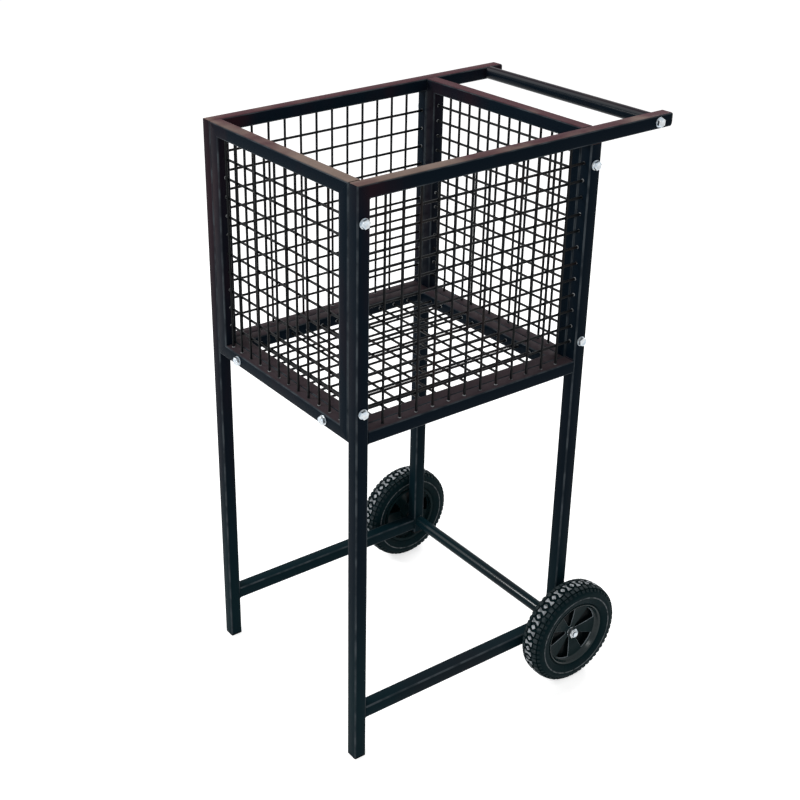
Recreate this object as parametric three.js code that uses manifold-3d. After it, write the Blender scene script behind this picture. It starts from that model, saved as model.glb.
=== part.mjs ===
// Ball cart: a waist-high wire basket on four square-tube legs, pushed by a bar on two wheels.
// The front faces -Y, the wheels and the push bar are at +Y, Z points up, and the origin lies
// on the floor in the middle of the cart. All lengths are in millimetres.
import * as THREE from 'three';
import Module from 'manifold-3d';
import { mergeVertices } from 'three/addons/utils/BufferGeometryUtils.js';

// Driving dimensions of the frame
const cartWidth = 420;
const frameLength = 455;
const cartHeight = 1000;
const handleReach = 147;
const basketFloorHeight = 595;
const lowerRailHeight = 79;
const tubeSide = 22;
const tubeWall = 1.5;
const weldGap = 0.3;
const panelGap = 0.5;
const rearLegTail = 8;

// Driving dimensions of the wire mesh
const wireDiameter = 4.2;
const wireLayerGap = 0.3;
const wireEndGap = 0.3;
const wireSides = 4;
const sideUprights = { count: 12, inset: 32.25 };
const rightSideCrossWires = { count: 12, inset: 30.9 };
const leftSideCrossWires = { count: 10, inset: 35.6 };
const frontUprights = { count: 12, inset: 9.85 };
const frontCrossWires = { count: 10, inset: 34.7 };
const rearUprights = { count: 12, inset: 29.1 };
const rearCrossWires = { count: 13, inset: 22.1 };
const trayLongWires = { count: 10, inset: 35 };
const trayCrossWires = { count: 11, inset: 25.5 };

// Driving dimensions of the bolts that hold the panels, the tray and the push bar
const boltDiameter = 8;
const boltHoleClearance = 1;
const boltHeadAcross = 13;
const boltHeadHeight = 5.3;
const washerDiameter = 16;
const washerThickness = 1.6;
const nutHeight = 6.5;
const nutSeatGap = 0.3;
const boltPastNut = 2;
const panelBoltFromEnd = 55;
const trayBoltFromEnd = 62.5;
const headFuse = 0.3;
const handleBoltDepth = 18;

// Driving dimensions of the push bar and the cross tube
const handleDiameter = 22;
const handleWall = 1.5;
const handleEndThickness = 12;
const handleFromRailEnd = 27;
const handleSideGap = 0.3;
const crossTubeDiameter = 22;
const crossTubeWall = 2;

// Driving dimensions of the wheels and their axle
const wheelDiameter = 190;
const tyreWidth = 46;
const tyreCentreFromFrame = 27.5;
const rimDiameter = 120;
const rimWidth = 38;
const rimThickness = 7;
const tyreFitGap = 0.3;
const webThickness = 6;
const spokeDiscThickness = 19;
const hubBossDiameter = 32;
const hubBossInset = 3;
const pocketCount = 5;
const pocketTurnDegrees = 31;
const pocketOuterRadius = 52;
const pocketOuterRound = 2.3;
const pocketOuterHalfWidth = 15.5;
const pocketTipRadius = 12;
const pocketTipHalfWidth = 2.5;
const pocketPastBoss = 3;
const axleDiameter = 10;
const axleHoleClearance = 1;
const axlePastNut = 2;
const bushWall = 2;
const bushFitGap = 0.3;
const bushRunningGap = 0.3;
const bushFlangeThickness = 2.4;
const bushFlangeDiameter = 26;
const bushSideGap = 0.3;
const axleNutAcross = 17;
const axleNutHeight = 9;
const axleWasherDiameter = 18;
const axleWasherThickness = 1.7;
const axleNutGap = 0.3;

// Driving dimensions of the plastic plugs in the tube ends
const footCapHeight = 3;
const railCapLength = 5;
const railCapChamfer = 2;
const plugDepth = 14;
const plugFitGap = 0.3;
const plugCapFuse = 0.3;

// Faces on round pieces, and the overrun of every cutting tool
const shankSides = 8;
const washerSides = 12;
const hexagonSides = 6;
const squareSides = 4;
const holeSides = 8;
const roundTubeSides = 20;
const tyreSides = 40;
const hubSides = 30;
const cutOverrun = 4;

// Places worked out from the driving dimensions
const sideX = cartWidth / 2;
const endY = frameLength / 2;
const tubeHalf = tubeSide / 2;
const legX = sideX - tubeHalf;
const legY = endY - tubeHalf;
const railEndY = endY + handleReach;
const railY = railEndY - handleFromRailEnd;
const topRailZ = cartHeight - tubeHalf;
const axleZ = wheelDiameter / 2;
const floorRailZ = basketFloorHeight + tubeHalf;
const lowerRailZ = lowerRailHeight + tubeHalf;
const legInnerX = sideX - tubeSide;
const legInnerY = endY - tubeSide;
const stileX = legInnerX - panelGap - tubeHalf;
const stileInnerX = stileX - tubeHalf;
const openingTop = cartHeight - tubeSide;
const openingBottom = basketFloorHeight + tubeSide;

// Finishes as the photo shows them
const powderCoat = new THREE.MeshStandardMaterial({ color: 0x14191d, roughness: 0.42, metalness: 0.2 });
const coatedWire = new THREE.MeshStandardMaterial({ color: 0x101316, roughness: 0.5, metalness: 0.2 });
const zincPlate = new THREE.MeshStandardMaterial({ color: 0xc4cacd, roughness: 0.3, metalness: 1 });
const tyreRubber = new THREE.MeshStandardMaterial({ color: 0x1a1f22, roughness: 0.85, metalness: 0 });
const hubPlastic = new THREE.MeshStandardMaterial({ color: 0x0f1315, roughness: 0.45, metalness: 0 });
const capPlastic = new THREE.MeshStandardMaterial({ color: 0x0b0c0d, roughness: 0.6, metalness: 0 });

const wasm = await Module();
wasm.setup();

const quarterTurn = Math.PI / 2;
const degree = Math.PI / 180;
const cart = new THREE.Group();

// Solids for joining and cutting
function toSolid(geometry) {
  const bare = geometry.clone();
  bare.deleteAttribute('normal');
  bare.deleteAttribute('uv');
  const merged = mergeVertices(bare);
  return new wasm.Manifold(new wasm.Mesh({
    numProp: 3,
    vertProperties: new Float32Array(merged.attributes.position.array),
    triVerts: new Uint32Array(merged.index.array),
  }));
}

function toGeometry(solid) {
  const mesh = solid.getMesh();
  const geometry = new THREE.BufferGeometry();
  geometry.setAttribute('position', new THREE.BufferAttribute(new Float32Array(mesh.vertProperties), 3));
  geometry.setIndex(new THREE.BufferAttribute(new Uint32Array(mesh.triVerts), 1));
  geometry.computeVertexNormals();
  return geometry;
}

function join(geometries) {
  return toGeometry(geometries.map(toSolid).reduce((whole, piece) => whole.add(piece)));
}

function place(name, geometry, material, parent = cart) {
  const mesh = new THREE.Mesh(geometry, material);
  mesh.name = name;
  parent.add(mesh);
  return mesh;
}

// A round tool along x or y through a point of the cart, cut out of one mesh
function drill(mesh, axis, centre, diameter, length) {
  const tool = new THREE.CylinderGeometry(diameter / 2, diameter / 2, length, holeSides);
  if (axis === 'x') tool.rotateZ(quarterTurn);
  tool.translate(centre.x, centre.y, centre.z);
  mesh.updateWorldMatrix(true, false);
  tool.applyMatrix4(mesh.matrixWorld.clone().invert());
  mesh.geometry = toGeometry(toSolid(mesh.geometry).subtract(toSolid(tool)));
}

// Square tube along its own +Z, with mitred ends where asked for. A mitre names the side,
// in the tube's own x and y, on which that end is shorter.
function squareTube(length, { startMitre = null, endMitre = null } = {}) {
  const square = (half) => [[-half, -half], [half, -half], [half, half], [-half, half]]
    .map(([x, y]) => new THREE.Vector2(x, y));
  const section = new THREE.Shape(square(tubeHalf));
  section.holes.push(new THREE.Path(square(tubeHalf - tubeWall)));
  const geometry = new THREE.ExtrudeGeometry(section, { depth: length, bevelEnabled: false });
  const points = geometry.attributes.position;
  for (let i = 0; i < points.count; i += 1) {
    const atEnd = points.getZ(i) > length / 2;
    const mitre = atEnd ? endMitre : startMitre;
    if (mitre) {
      const trim = tubeHalf + mitre[0] * points.getX(i) + mitre[1] * points.getY(i) + weldGap / 2;
      points.setZ(i, points.getZ(i) + (atEnd ? -trim : trim));
    }
  }
  return geometry;
}

function upright(name, x, y, bottom, top, mitres) {
  const tube = place(name, squareTube(top - bottom, mitres), powderCoat);
  tube.position.set(x, y, bottom);
  return tube;
}

// Own x of the tube points down
function alongX(name, y, z, from, to, mitres) {
  const tube = place(name, squareTube(to - from, mitres), powderCoat);
  tube.rotation.y = quarterTurn;
  tube.position.set(from, y, z);
  return tube;
}

// Own y of the tube points down
function alongY(name, x, z, from, to, mitres) {
  const tube = place(name, squareTube(to - from, mitres), powderCoat);
  tube.rotation.x = -quarterTurn;
  tube.position.set(x, from, z);
  return tube;
}

// One welded mesh: uprights lie in one layer and cross wires in the next, a hair apart. The
// first wire of each direction lies between the layers, fused to every wire that it crosses.
// The outer wires of each direction stand at the pattern's inset from the tubes, the rest are
// spaced evenly between them. The mesh is made in its own x and y, centred, layers stacked in z.
function wireMesh(width, height, uprights, crossWires) {
  const layerOffset = (wireDiameter + wireLayerGap) / 2;
  const wireRadius = wireDiameter / 2;
  const wires = [];
  const lay = (pattern, span, length, outward, turn) => {
    const pitch = (span - 2 * pattern.inset) / (pattern.count - 1);
    for (let i = 0; i < pattern.count; i += 1) {
      const wire = new THREE.CylinderGeometry(wireRadius, wireRadius, length - 2 * wireEndGap, wireSides);
      wire.rotateY(Math.PI / wireSides);
      const offset = (i - (pattern.count - 1) / 2) * pitch;
      if (turn) wire.rotateZ(quarterTurn);
      wire.translate(turn ? 0 : offset, turn ? offset : 0, i === 0 ? 0 : outward);
      wires.push(wire);
    }
  };
  lay(uprights, width, height, layerOffset, false);
  lay(crossWires, height, width, -layerOffset, true);
  return join(wires);
}

// Stands a mesh upright with its own +Z towards the front, and then turns it about the vertical
function standUp(mesh, turn) {
  mesh.rotation.set(quarterTurn, 0, turn, 'ZXY');
}

// Side frames: two legs, top rail with the reach for the push bar, basket rail, lower rail, mesh
const sideNames = { left: -1, right: 1 };
const sideLegs = {};
const sideRails = {};
for (const [side, sign] of Object.entries(sideNames)) {
  const x = sign * legX;
  sideLegs[side] = {
    front: upright(`${side}_front_leg`, x, -legY, footCapHeight, cartHeight, { endMitre: [0, 1] }),
    rear: upright(`${side}_rear_leg`, x, legY, lowerRailZ - tubeHalf - rearLegTail, openingTop),
  };
  sideRails[side] = alongY(`${side}_top_rail`, x, topRailZ, -endY, railEndY, { startMitre: [0, 1] });
  alongY(`${side}_basket_rail`, x, floorRailZ, -legInnerY, legInnerY);
  alongY(`${side}_lower_rail`, x, lowerRailZ, -legInnerY, legInnerY);
  const crossWires = side === 'right' ? rightSideCrossWires : leftSideCrossWires;
  const net = wireMesh(2 * legInnerY, openingTop - openingBottom, sideUprights, crossWires);
  const mesh = place(`${side}_side_mesh`, net, coatedWire);
  standUp(mesh, sign * quarterTurn);
  mesh.position.set(x, 0, (openingTop + openingBottom) / 2);
}

// Front and rear panels: mitred frames with their mesh, bolted between the side frames
const endNames = { front: -1, rear: 1 };
const panelUprights = { front: frontUprights, rear: rearUprights };
const panelCrossWires = { front: frontCrossWires, rear: rearCrossWires };
const stiles = {};
const floorRails = {};
for (const [end, sign] of Object.entries(endNames)) {
  const y = sign * legY;
  const panelHalf = stileX + tubeHalf;
  stiles[end] = {
    left: upright(`${end}_panel_left_stile`, -stileX, y, basketFloorHeight, cartHeight,
      { startMitre: [1, 0], endMitre: [1, 0] }),
    right: upright(`${end}_panel_right_stile`, stileX, y, basketFloorHeight, cartHeight,
      { startMitre: [-1, 0], endMitre: [-1, 0] }),
  };
  alongX(`${end}_panel_top_rail`, y, topRailZ, -panelHalf, panelHalf,
    { startMitre: [1, 0], endMitre: [1, 0] });
  floorRails[end] = alongX(`${end}_panel_bottom_rail`, y, floorRailZ, -panelHalf, panelHalf,
    { startMitre: [-1, 0], endMitre: [-1, 0] });
  const net = wireMesh(2 * stileInnerX, openingTop - openingBottom, panelUprights[end], panelCrossWires[end]);
  const mesh = place(`${end}_panel_mesh`, net, coatedWire);
  standUp(mesh, sign > 0 ? Math.PI : 0);
  mesh.position.set(0, y, (openingTop + openingBottom) / 2);
}

// Tray: the basket floor, a mitred frame with its mesh, held between the lower basket rails
const trayHalfX = legInnerX - panelGap;
const trayHalfY = legInnerY - panelGap;
const trayTubes = {
  front: alongX('tray_front_tube', -(trayHalfY - tubeHalf), floorRailZ, -trayHalfX, trayHalfX,
    { startMitre: [0, 1], endMitre: [0, 1] }),
  rear: alongX('tray_rear_tube', trayHalfY - tubeHalf, floorRailZ, -trayHalfX, trayHalfX,
    { startMitre: [0, -1], endMitre: [0, -1] }),
};
alongY('tray_left_tube', -(trayHalfX - tubeHalf), floorRailZ, -trayHalfY, trayHalfY,
  { startMitre: [1, 0], endMitre: [1, 0] });
alongY('tray_right_tube', trayHalfX - tubeHalf, floorRailZ, -trayHalfY, trayHalfY,
  { startMitre: [-1, 0], endMitre: [-1, 0] });
const trayNet = wireMesh(2 * (trayHalfX - tubeSide), 2 * (trayHalfY - tubeSide), trayLongWires, trayCrossWires);
place('tray_mesh', trayNet, coatedWire).position.z = floorRailZ;

// Bolts: hex head and washer outside, plain shank through the tubes, nut inside the far tube.
// Own +Z points out of the cart and own z = 0 is the face under the washer.
function rod(diameter, from, to, sides) {
  const geometry = new THREE.CylinderGeometry(diameter / 2, diameter / 2, to - from, sides);
  return geometry.rotateX(quarterTurn).translate(0, 0, (from + to) / 2);
}

function hexagon(across, from, to) {
  return rod(across / Math.cos(Math.PI / hexagonSides), from, to, hexagonSides);
}

function headedBolt(shankEnd) {
  return [
    rod(boltDiameter, shankEnd, washerThickness + boltHeadHeight / 2, shankSides),
    rod(washerDiameter, 0, washerThickness, washerSides),
    hexagon(boltHeadAcross, washerThickness - headFuse, washerThickness + boltHeadHeight),
  ];
}

const nutSeat = -(tubeSide + panelGap + tubeWall + nutSeatGap);
const nutEnd = nutSeat - nutHeight;
const panelBolt = join([...headedBolt(nutEnd - boltPastNut), hexagon(boltHeadAcross, nutEnd, nutSeat)]);
const handleBolt = join(headedBolt(-(tubeSide + handleSideGap + handleBoltDepth)));
const boltHole = boltDiameter + boltHoleClearance;
const throughTube = tubeSide + 2 * cutOverrun;
const panelBoltHeights = {
  upper: cartHeight - panelBoltFromEnd,
  lower: basketFloorHeight + panelBoltFromEnd,
};

for (const [side, sign] of Object.entries(sideNames)) {
  for (const [end, endSign] of Object.entries(endNames)) {
    for (const [level, z] of Object.entries(panelBoltHeights)) {
      const bolt = place(`${end}_${side}_${level}_panel_bolt`, panelBolt.clone(), zincPlate);
      bolt.rotation.y = sign * quarterTurn;
      bolt.position.set(sign * sideX, endSign * legY, z);
      const centre = new THREE.Vector3(sign * legX, endSign * legY, z);
      drill(sideLegs[side][end], 'x', centre, boltHole, throughTube);
      centre.x = sign * (stileX + tubeHalf);
      drill(stiles[end][side], 'x', centre, boltHole, tubeSide);
    }
  }
  const bolt = place(`${side}_handle_bolt`, handleBolt.clone(), zincPlate);
  bolt.rotation.y = sign * quarterTurn;
  bolt.position.set(sign * sideX, railY, topRailZ);
  drill(sideRails[side], 'x', new THREE.Vector3(sign * legX, railY, topRailZ), boltHole, throughTube);
}

for (const [end, endSign] of Object.entries(endNames)) {
  for (const [side, sign] of Object.entries(sideNames)) {
    const x = sign * (trayHalfX - trayBoltFromEnd);
    const bolt = place(`${end}_${side}_tray_bolt`, panelBolt.clone(), zincPlate);
    bolt.rotation.x = -endSign * quarterTurn;
    bolt.position.set(x, endSign * endY, floorRailZ);
    drill(floorRails[end], 'y', new THREE.Vector3(x, endSign * legY, floorRailZ), boltHole, throughTube);
    drill(trayTubes[end], 'y', new THREE.Vector3(x, endSign * trayHalfY, floorRailZ), boltHole, tubeSide);
  }
}

// A turned shape about the cart's X axis, from a closed outline of [radius, x] points
function turned(outline, sides) {
  const points = outline.map(([radius, x]) => new THREE.Vector2(radius, x));
  points.push(points[0].clone());
  return new THREE.LatheGeometry(points, sides).rotateZ(-quarterTurn);
}

// Push bar: round tube with thick tapped ends, between the reaches of the top rails
const handleHalf = legInnerX - handleSideGap;
const handleBore = handleDiameter / 2 - handleWall;
const handleBar = place('handle_bar', turned([
  [boltHole / 2, -handleHalf],
  [handleDiameter / 2, -handleHalf],
  [handleDiameter / 2, handleHalf],
  [boltHole / 2, handleHalf],
  [boltHole / 2, handleHalf - handleEndThickness],
  [handleBore, handleHalf - handleEndThickness],
  [handleBore, -handleHalf + handleEndThickness],
  [boltHole / 2, -handleHalf + handleEndThickness],
], roundTubeSides), powderCoat);
handleBar.position.set(0, railY, topRailZ);

// Cross tube between the rear legs, and the axle that runs through it to both wheels
const wheelX = sideX + tyreCentreFromFrame;
const hubInnerX = sideX + bushSideGap + bushFlangeThickness + bushFitGap;
const hubOuterX = wheelX + spokeDiscThickness / 2 - hubBossInset;
const washerX = hubOuterX + bushFitGap;
const nutX = washerX + axleWasherThickness + axleNutGap;
const axleHalf = nutX + axleNutHeight + axlePastNut;
const axleHole = axleDiameter + axleHoleClearance;
const crossTubeHalf = legInnerX - weldGap;
const crossTube = place('cross_tube', turned([
  [crossTubeDiameter / 2 - crossTubeWall, -crossTubeHalf],
  [crossTubeDiameter / 2, -crossTubeHalf],
  [crossTubeDiameter / 2, crossTubeHalf],
  [crossTubeDiameter / 2 - crossTubeWall, crossTubeHalf],
], roundTubeSides), powderCoat);
crossTube.position.set(0, legY, axleZ);
const axleRod = new THREE.CylinderGeometry(axleDiameter / 2, axleDiameter / 2, 2 * axleHalf, roundTubeSides);
place('axle_rod', axleRod.rotateZ(quarterTurn), zincPlate).position.set(0, legY, axleZ);
for (const [side, sign] of Object.entries(sideNames)) {
  const centre = new THREE.Vector3(sign * legX, legY, axleZ);
  drill(sideLegs[side].rear, 'x', centre, axleHole, throughTube);
}

// Wheels: a rubber tyre on a five-spoke plastic hub that turns on a flanged bush
const tyreRadius = wheelDiameter / 2;
const rimRadius = rimDiameter / 2;
const tyreHalf = tyreWidth / 2;
const tyreDepth = tyreRadius - rimRadius;
const tyreProfileShares = [
  [0, 0.8],
  [0.2, 0.92],
  [0.5, 1],
  [0.75, 0.95],
  [0.91, 0.8],
  [0.98, 0.5],
  [1, 0.2],
];
const halfProfile = tyreProfileShares.map(([depthShare, widthShare]) => [
  rimRadius + tyreFitGap + depthShare * (tyreDepth - tyreFitGap),
  -widthShare * tyreHalf,
]);
const tyreProfile = [
  ...halfProfile,
  ...halfProfile.slice().reverse().map(([radius, x]) => [radius, -x]),
];

// Own x points out of the cart, and own x = 0 is the middle of the tyre
const boreRadius = axleDiameter / 2 + bushRunningGap + bushWall + bushFitGap;
const bossRadius = hubBossDiameter / 2;
const rimInner = rimRadius - rimThickness;
const discHalf = spokeDiscThickness / 2;
const rimHalf = rimWidth / 2;
const hubProfile = [
  [boreRadius, hubInnerX - wheelX],
  [bossRadius, hubInnerX - wheelX],
  [bossRadius, -discHalf],
  [rimInner, -discHalf],
  [rimRadius - rimThickness / 2, -rimHalf],
  [rimRadius, -rimHalf],
  [rimRadius, rimHalf],
  [rimRadius - rimThickness / 2, rimHalf],
  [rimInner, discHalf],
  [bossRadius, discHalf - hubBossInset],
  [boreRadius, discHalf - hubBossInset],
];

// The wedge between two spokes: its tip points down to the axle
function pocketShape(tipRadius) {
  return new THREE.Shape([
    new THREE.Vector2(pocketTipHalfWidth, tipRadius),
    new THREE.Vector2(pocketOuterHalfWidth, pocketOuterRadius - pocketOuterRound),
    new THREE.Vector2(0, pocketOuterRadius),
    new THREE.Vector2(-pocketOuterHalfWidth, pocketOuterRadius - pocketOuterRound),
    new THREE.Vector2(-pocketTipHalfWidth, tipRadius),
  ]);
}

// The pockets of both faces lie behind each other, with the web between them
function spokedHub() {
  const pockets = [
    [1, pocketShape(pocketTipRadius)],
    [-1, pocketShape(bossRadius + pocketPastBoss)],
  ];
  let hub = toSolid(turned(hubProfile, hubSides));
  for (const [face, shape] of pockets) {
    for (let i = 0; i < pocketCount; i += 1) {
      const tool = new THREE.ExtrudeGeometry(shape, { depth: rimHalf, bevelEnabled: false });
      tool.rotateY(face * quarterTurn);
      tool.rotateX(pocketTurnDegrees * degree + (2 * Math.PI * i) / pocketCount);
      tool.translate(face * webThickness / 2, 0, 0);
      hub = hub.subtract(toSolid(tool));
    }
  }
  return toGeometry(hub);
}

const bushProfile = [
  [axleDiameter / 2 + bushRunningGap, sideX + bushSideGap - wheelX],
  [bushFlangeDiameter / 2, sideX + bushSideGap - wheelX],
  [bushFlangeDiameter / 2, sideX + bushSideGap + bushFlangeThickness - wheelX],
  [boreRadius - bushFitGap, sideX + bushSideGap + bushFlangeThickness - wheelX],
  [boreRadius - bushFitGap, hubOuterX - wheelX],
  [axleDiameter / 2 + bushRunningGap, hubOuterX - wheelX],
];

function axleWasher() {
  return turned([
    [axleHole / 2, washerX],
    [axleWasherDiameter / 2, washerX],
    [axleWasherDiameter / 2, washerX + axleWasherThickness],
    [axleHole / 2, washerX + axleWasherThickness],
  ], roundTubeSides);
}

function axleNut() {
  const blank = hexagon(axleNutAcross, nutX, nutX + axleNutHeight);
  const bore = rod(axleHole, nutX - cutOverrun, nutX + axleNutHeight + cutOverrun, roundTubeSides);
  return toGeometry(toSolid(blank).subtract(toSolid(bore))).rotateY(quarterTurn);
}

for (const [side, sign] of Object.entries(sideNames)) {
  const wheel = new THREE.Group();
  wheel.position.set(sign * wheelX, legY, axleZ);
  wheel.rotation.z = sign > 0 ? 0 : Math.PI;
  cart.add(wheel);
  place(`${side}_tyre`, turned(tyreProfile, tyreSides), tyreRubber, wheel);
  place(`${side}_hub`, spokedHub(), hubPlastic, wheel);
  place(`${side}_wheel_bush`, turned(bushProfile, roundTubeSides), hubPlastic, wheel);
  const axleEnd = new THREE.Group();
  axleEnd.position.set(0, legY, axleZ);
  axleEnd.rotation.z = wheel.rotation.z;
  cart.add(axleEnd);
  place(`${side}_axle_washer`, axleWasher(), zincPlate, axleEnd);
  place(`${side}_axle_nut`, axleNut(), zincPlate, axleEnd);
}

// Plastic plugs: a cap over the tube end and a square body inside it. Own +Z points into the tube.
const plugSide = tubeSide - 2 * tubeWall - 2 * plugFitGap;

function tubePlug(capHeight, capChamfer) {
  const halfFace = tubeHalf - capChamfer;
  const cap = new THREE.CylinderGeometry(tubeHalf * Math.SQRT2, halfFace * Math.SQRT2, capHeight, squareSides);
  cap.rotateY(Math.PI / squareSides).rotateX(quarterTurn).translate(0, 0, -capHeight / 2);
  const body = new THREE.BoxGeometry(plugSide, plugSide, plugDepth + plugCapFuse);
  body.translate(0, 0, (plugDepth - plugCapFuse) / 2);
  return join([cap, body]);
}

for (const [side, sign] of Object.entries(sideNames)) {
  const foot = place(`${side}_front_foot_plug`, tubePlug(footCapHeight - plugFitGap, 0), capPlastic);
  foot.position.set(sign * legX, -legY, footCapHeight - plugFitGap);
  const tail = place(`${side}_rear_leg_plug`, tubePlug(footCapHeight, 0), capPlastic);
  tail.position.set(sign * legX, legY, lowerRailZ - tubeHalf - rearLegTail);
  const end = place(`${side}_rail_end_plug`, tubePlug(railCapLength, railCapChamfer), capPlastic);
  end.rotation.x = quarterTurn;
  end.position.set(sign * legX, railEndY, topRailZ);
}

// The origin is put in the middle of the cart's reach, from the tray bolt heads to the rail end plugs
const frontReach = endY + washerThickness + boltHeadHeight;
const rearReach = railEndY + railCapLength;
cart.position.y = (frontReach - rearReach) / 2;

export default cart;
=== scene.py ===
import math
import random

import bmesh
import bpy
from mathutils import Matrix, Vector


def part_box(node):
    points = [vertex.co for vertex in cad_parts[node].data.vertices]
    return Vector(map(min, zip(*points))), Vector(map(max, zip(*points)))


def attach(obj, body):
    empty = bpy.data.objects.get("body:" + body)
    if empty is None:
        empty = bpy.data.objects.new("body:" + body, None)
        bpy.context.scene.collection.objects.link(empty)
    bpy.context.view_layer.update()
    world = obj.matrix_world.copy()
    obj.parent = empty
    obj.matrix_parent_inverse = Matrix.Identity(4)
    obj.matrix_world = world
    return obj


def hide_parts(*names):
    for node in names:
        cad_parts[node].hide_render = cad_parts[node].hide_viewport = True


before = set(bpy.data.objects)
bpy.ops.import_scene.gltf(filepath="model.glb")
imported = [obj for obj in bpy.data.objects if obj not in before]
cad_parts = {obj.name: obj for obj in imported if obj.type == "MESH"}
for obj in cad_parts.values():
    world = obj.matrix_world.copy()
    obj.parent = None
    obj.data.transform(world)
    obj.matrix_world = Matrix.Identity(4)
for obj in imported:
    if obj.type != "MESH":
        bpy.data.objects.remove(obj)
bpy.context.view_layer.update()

# The room. A pale seamless floor and one white room around it, lit by three soft lamps: one
# in front to the left, one beside the camera and one behind. The camera stands in front and to
# the right of the cart, above its rails, close to where the photo was taken from.
EYE = (1.5985, -1.3037, 1.5789)
EYE_TURN = math.radians(58.359)
EYE_DROP = math.radians(25.505)
EYE_ROLL = math.radians(-1.558)
LENS = 60.08
SENSOR_WIDTH = 36
SHIFT = (0.165, -0.065)
CLIP_NEAR = 0.05
CLIP_FAR = 60
FLOOR_HALF = 14.0
FLOOR_DROP = 0.0003
FLOOR_GREY = (0.82, 0.82, 0.82, 1)
FLOOR_LIFT = 0.62
ROOM_LIGHT = 0.5
LAMPS = [
    # place, size, watts, aimed at
    ((-1.7, -2.2, 2.3), 0.9, 48, (0, 0, 0.5)),
    ((1.75, -1.85, 2.05), 0.7, 18, (0.2, 0.1, 0.2)),
    ((-0.6, 2.3, 2.1), 1.2, 36, (0, 0, 0.6)),
]


class Term:
    """One shader socket on which sums and products can be written."""

    def __init__(self, finish, socket):
        self.finish = finish
        self.socket = socket

    def maths(self, operation, first, second):
        return self.finish.node("ShaderNodeMath", {"operation": operation}, {0: first, 1: second})

    def __add__(self, other):
        return self.maths("ADD", self, other)

    def __sub__(self, other):
        return self.maths("SUBTRACT", self, other)

    def __rsub__(self, other):
        return self.maths("SUBTRACT", other, self)

    def __mul__(self, other):
        return self.maths("MULTIPLY", self, other)

    __radd__ = __add__
    __rmul__ = __mul__


class Finish:
    """A material whose nodes are added one by one, round a plain surface shader."""

    def __init__(self, name, **constants):
        self.material = bpy.data.materials.new(name)
        self.material.use_nodes = True
        self.tree = self.material.node_tree
        self.tree.nodes.clear()
        self.output = self.tree.nodes.new("ShaderNodeOutputMaterial")
        self.skin = self.tree.nodes.new("ShaderNodeBsdfPrincipled")
        self.tree.links.new(self.skin.outputs[0], self.output.inputs[0])
        for socket, value in constants.items():
            self.skin.inputs[socket.replace("_", " ")].default_value = value

    def node(self, kind, settings, sockets, output=0):
        made = self.tree.nodes.new(kind)
        for setting, value in settings.items():
            setattr(made, setting, value)
        for socket, value in sockets.items():
            self.feed(made.inputs[socket], value)
        return Term(self, made.outputs[output])

    def feed(self, socket, value):
        if isinstance(value, Term):
            self.tree.links.new(value.socket, socket)
        else:
            socket.default_value = value

    def place(self):
        return self.node("ShaderNodeTexCoord", {}, {}, "Object")

    def direction(self):
        return self.node("ShaderNodeTexCoord", {}, {}, "Normal")

    def part(self, vector, axis):
        return self.node("ShaderNodeSeparateXYZ", {}, {0: vector}, axis)

    def noise(self, scale, detail=3.0, stretch=(1, 1, 1)):
        spot = self.node("ShaderNodeMapping", {}, {"Vector": self.place(), "Scale": stretch})
        return self.node("ShaderNodeTexNoise", {}, {"Vector": spot, "Scale": scale, "Detail": detail})

    def step(self, value, low, high):
        """0 below low, 1 above high, and a smooth rise between them."""
        return self.node("ShaderNodeMapRange", {"interpolation_type": "SMOOTHSTEP"},
                         {"Value": value, "From Min": low, "From Max": high})

    def blend(self, share, first, second):
        return self.node("ShaderNodeMix", {"data_type": "RGBA"}, {0: share, 6: first, 7: second}, 2)

    def mark(self, name):
        """The share that a mark on the mesh gives a face, such as how far an edge is worn and painted with a
        highlight.
        """
        return self.node("ShaderNodeAttribute", {"attribute_name": name}, {}, "Fac")

    def bump(self, height, strength, distance):
        return self.node("ShaderNodeBump", {},
                         {"Height": height, "Strength": strength, "Distance": distance})

    def wear(self, **sockets):
        for socket, value in sockets.items():
            self.feed(self.skin.inputs[socket.replace("_", " ")], value)
        return self.material


def seen_share(tree):
    """1 for what the camera, a mirror or glass sees, and 0 for light that falls on the cart."""
    rays = tree.nodes.new("ShaderNodeLightPath")
    seen = rays.outputs["Is Camera Ray"]
    for kind in ("Is Glossy Ray", "Is Transmission Ray"):
        either = tree.nodes.new("ShaderNodeMath")
        either.operation = "MAXIMUM"
        tree.links.new(seen, either.inputs[0])
        tree.links.new(rays.outputs[kind], either.inputs[1])
        seen = either.outputs[0]
    return seen


back = Vector((math.sin(EYE_TURN) * math.cos(EYE_DROP),
               -math.cos(EYE_TURN) * math.cos(EYE_DROP), math.sin(EYE_DROP)))
level_right = (-back).cross(Vector((0, 0, 1))).normalized()
level_up = level_right.cross(-back)
right = math.cos(EYE_ROLL) * level_right + math.sin(EYE_ROLL) * level_up
up = math.cos(EYE_ROLL) * level_up - math.sin(EYE_ROLL) * level_right
bpy.ops.object.camera_add()
camera = bpy.context.object
camera.matrix_world = Matrix.Translation(EYE) @ Matrix((right, up, back)).transposed().to_4x4()
camera.data.lens = LENS
camera.data.sensor_width = SENSOR_WIDTH
camera.data.shift_x, camera.data.shift_y = SHIFT
camera.data.clip_start = CLIP_NEAR
camera.data.clip_end = CLIP_FAR
bpy.context.scene.camera = camera
bpy.context.scene.view_settings.view_transform = "Standard"

for place, size, watts, target in LAMPS:
    bpy.ops.object.light_add(type="AREA", location=place)
    lamp = bpy.context.object
    lamp.data.shape = "DISK"
    lamp.data.size = size
    lamp.data.energy = watts
    lamp.rotation_mode = "QUATERNION"
    lamp.rotation_quaternion = (Vector(target) - Vector(place)).to_track_quat("-Z", "Y")

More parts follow.
